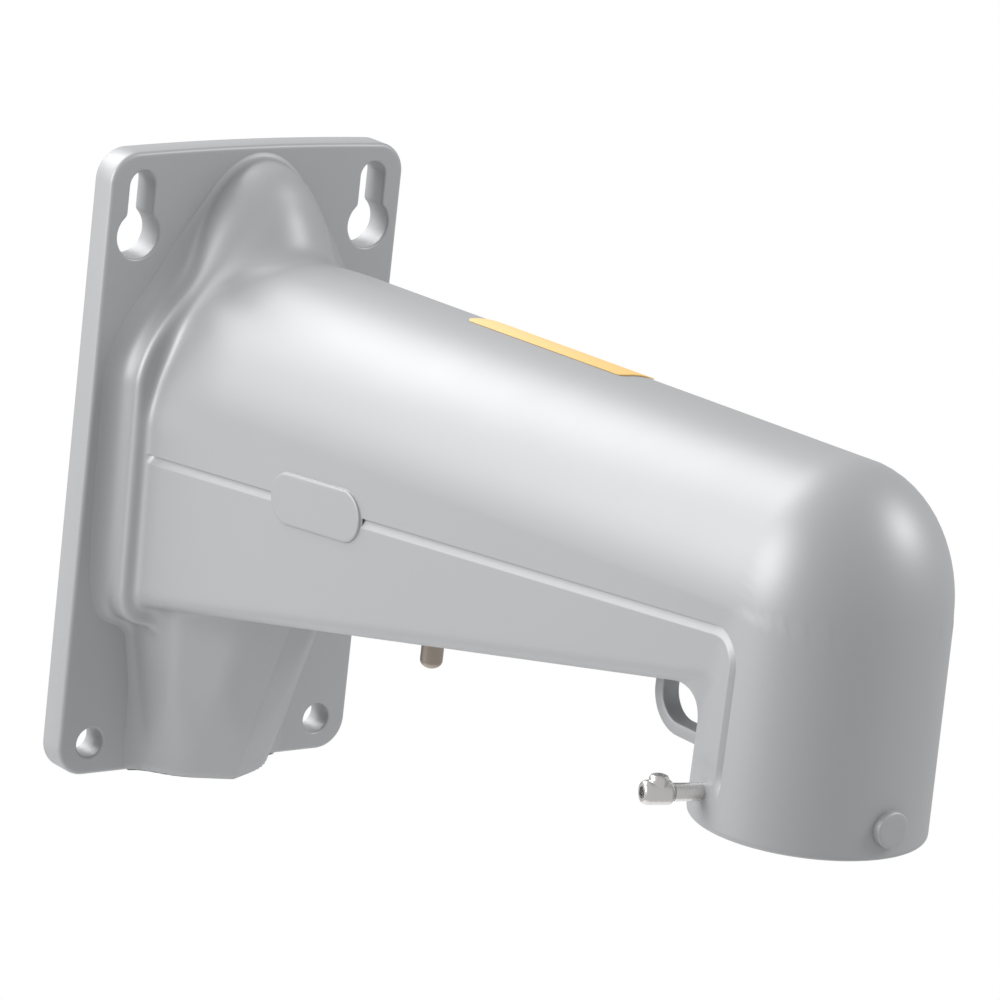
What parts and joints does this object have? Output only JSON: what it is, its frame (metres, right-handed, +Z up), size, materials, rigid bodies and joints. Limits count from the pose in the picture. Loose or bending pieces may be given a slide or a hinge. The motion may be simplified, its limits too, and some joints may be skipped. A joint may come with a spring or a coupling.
{
  "type": "ptz camera bracket",
  "caption": "Hollow cast wall bracket: a keyholed plate, a tapered arm and a downward tube with a threaded socket that carries a pan and tilt camera.",
  "frame": {"origin": "centre of the wall face of the plate", "axes": "+Z up, +Y into the wall, the arm reaches out along -Y and the camera tube hangs down"},
  "size_m": [0.1, 0.3078, 0.1838],
  "materials": {
    "casting": "satin",
    "steel": "satin",
    "pin": "satin",
    "sticker": "satin"
  },
  "bodies": {
    "root": {"casting": "casting", "lock_screw_left": "steel", "lock_screw_right": "steel", "pin": "pin", "sticker": "sticker"}
  },
  "joints": []
}
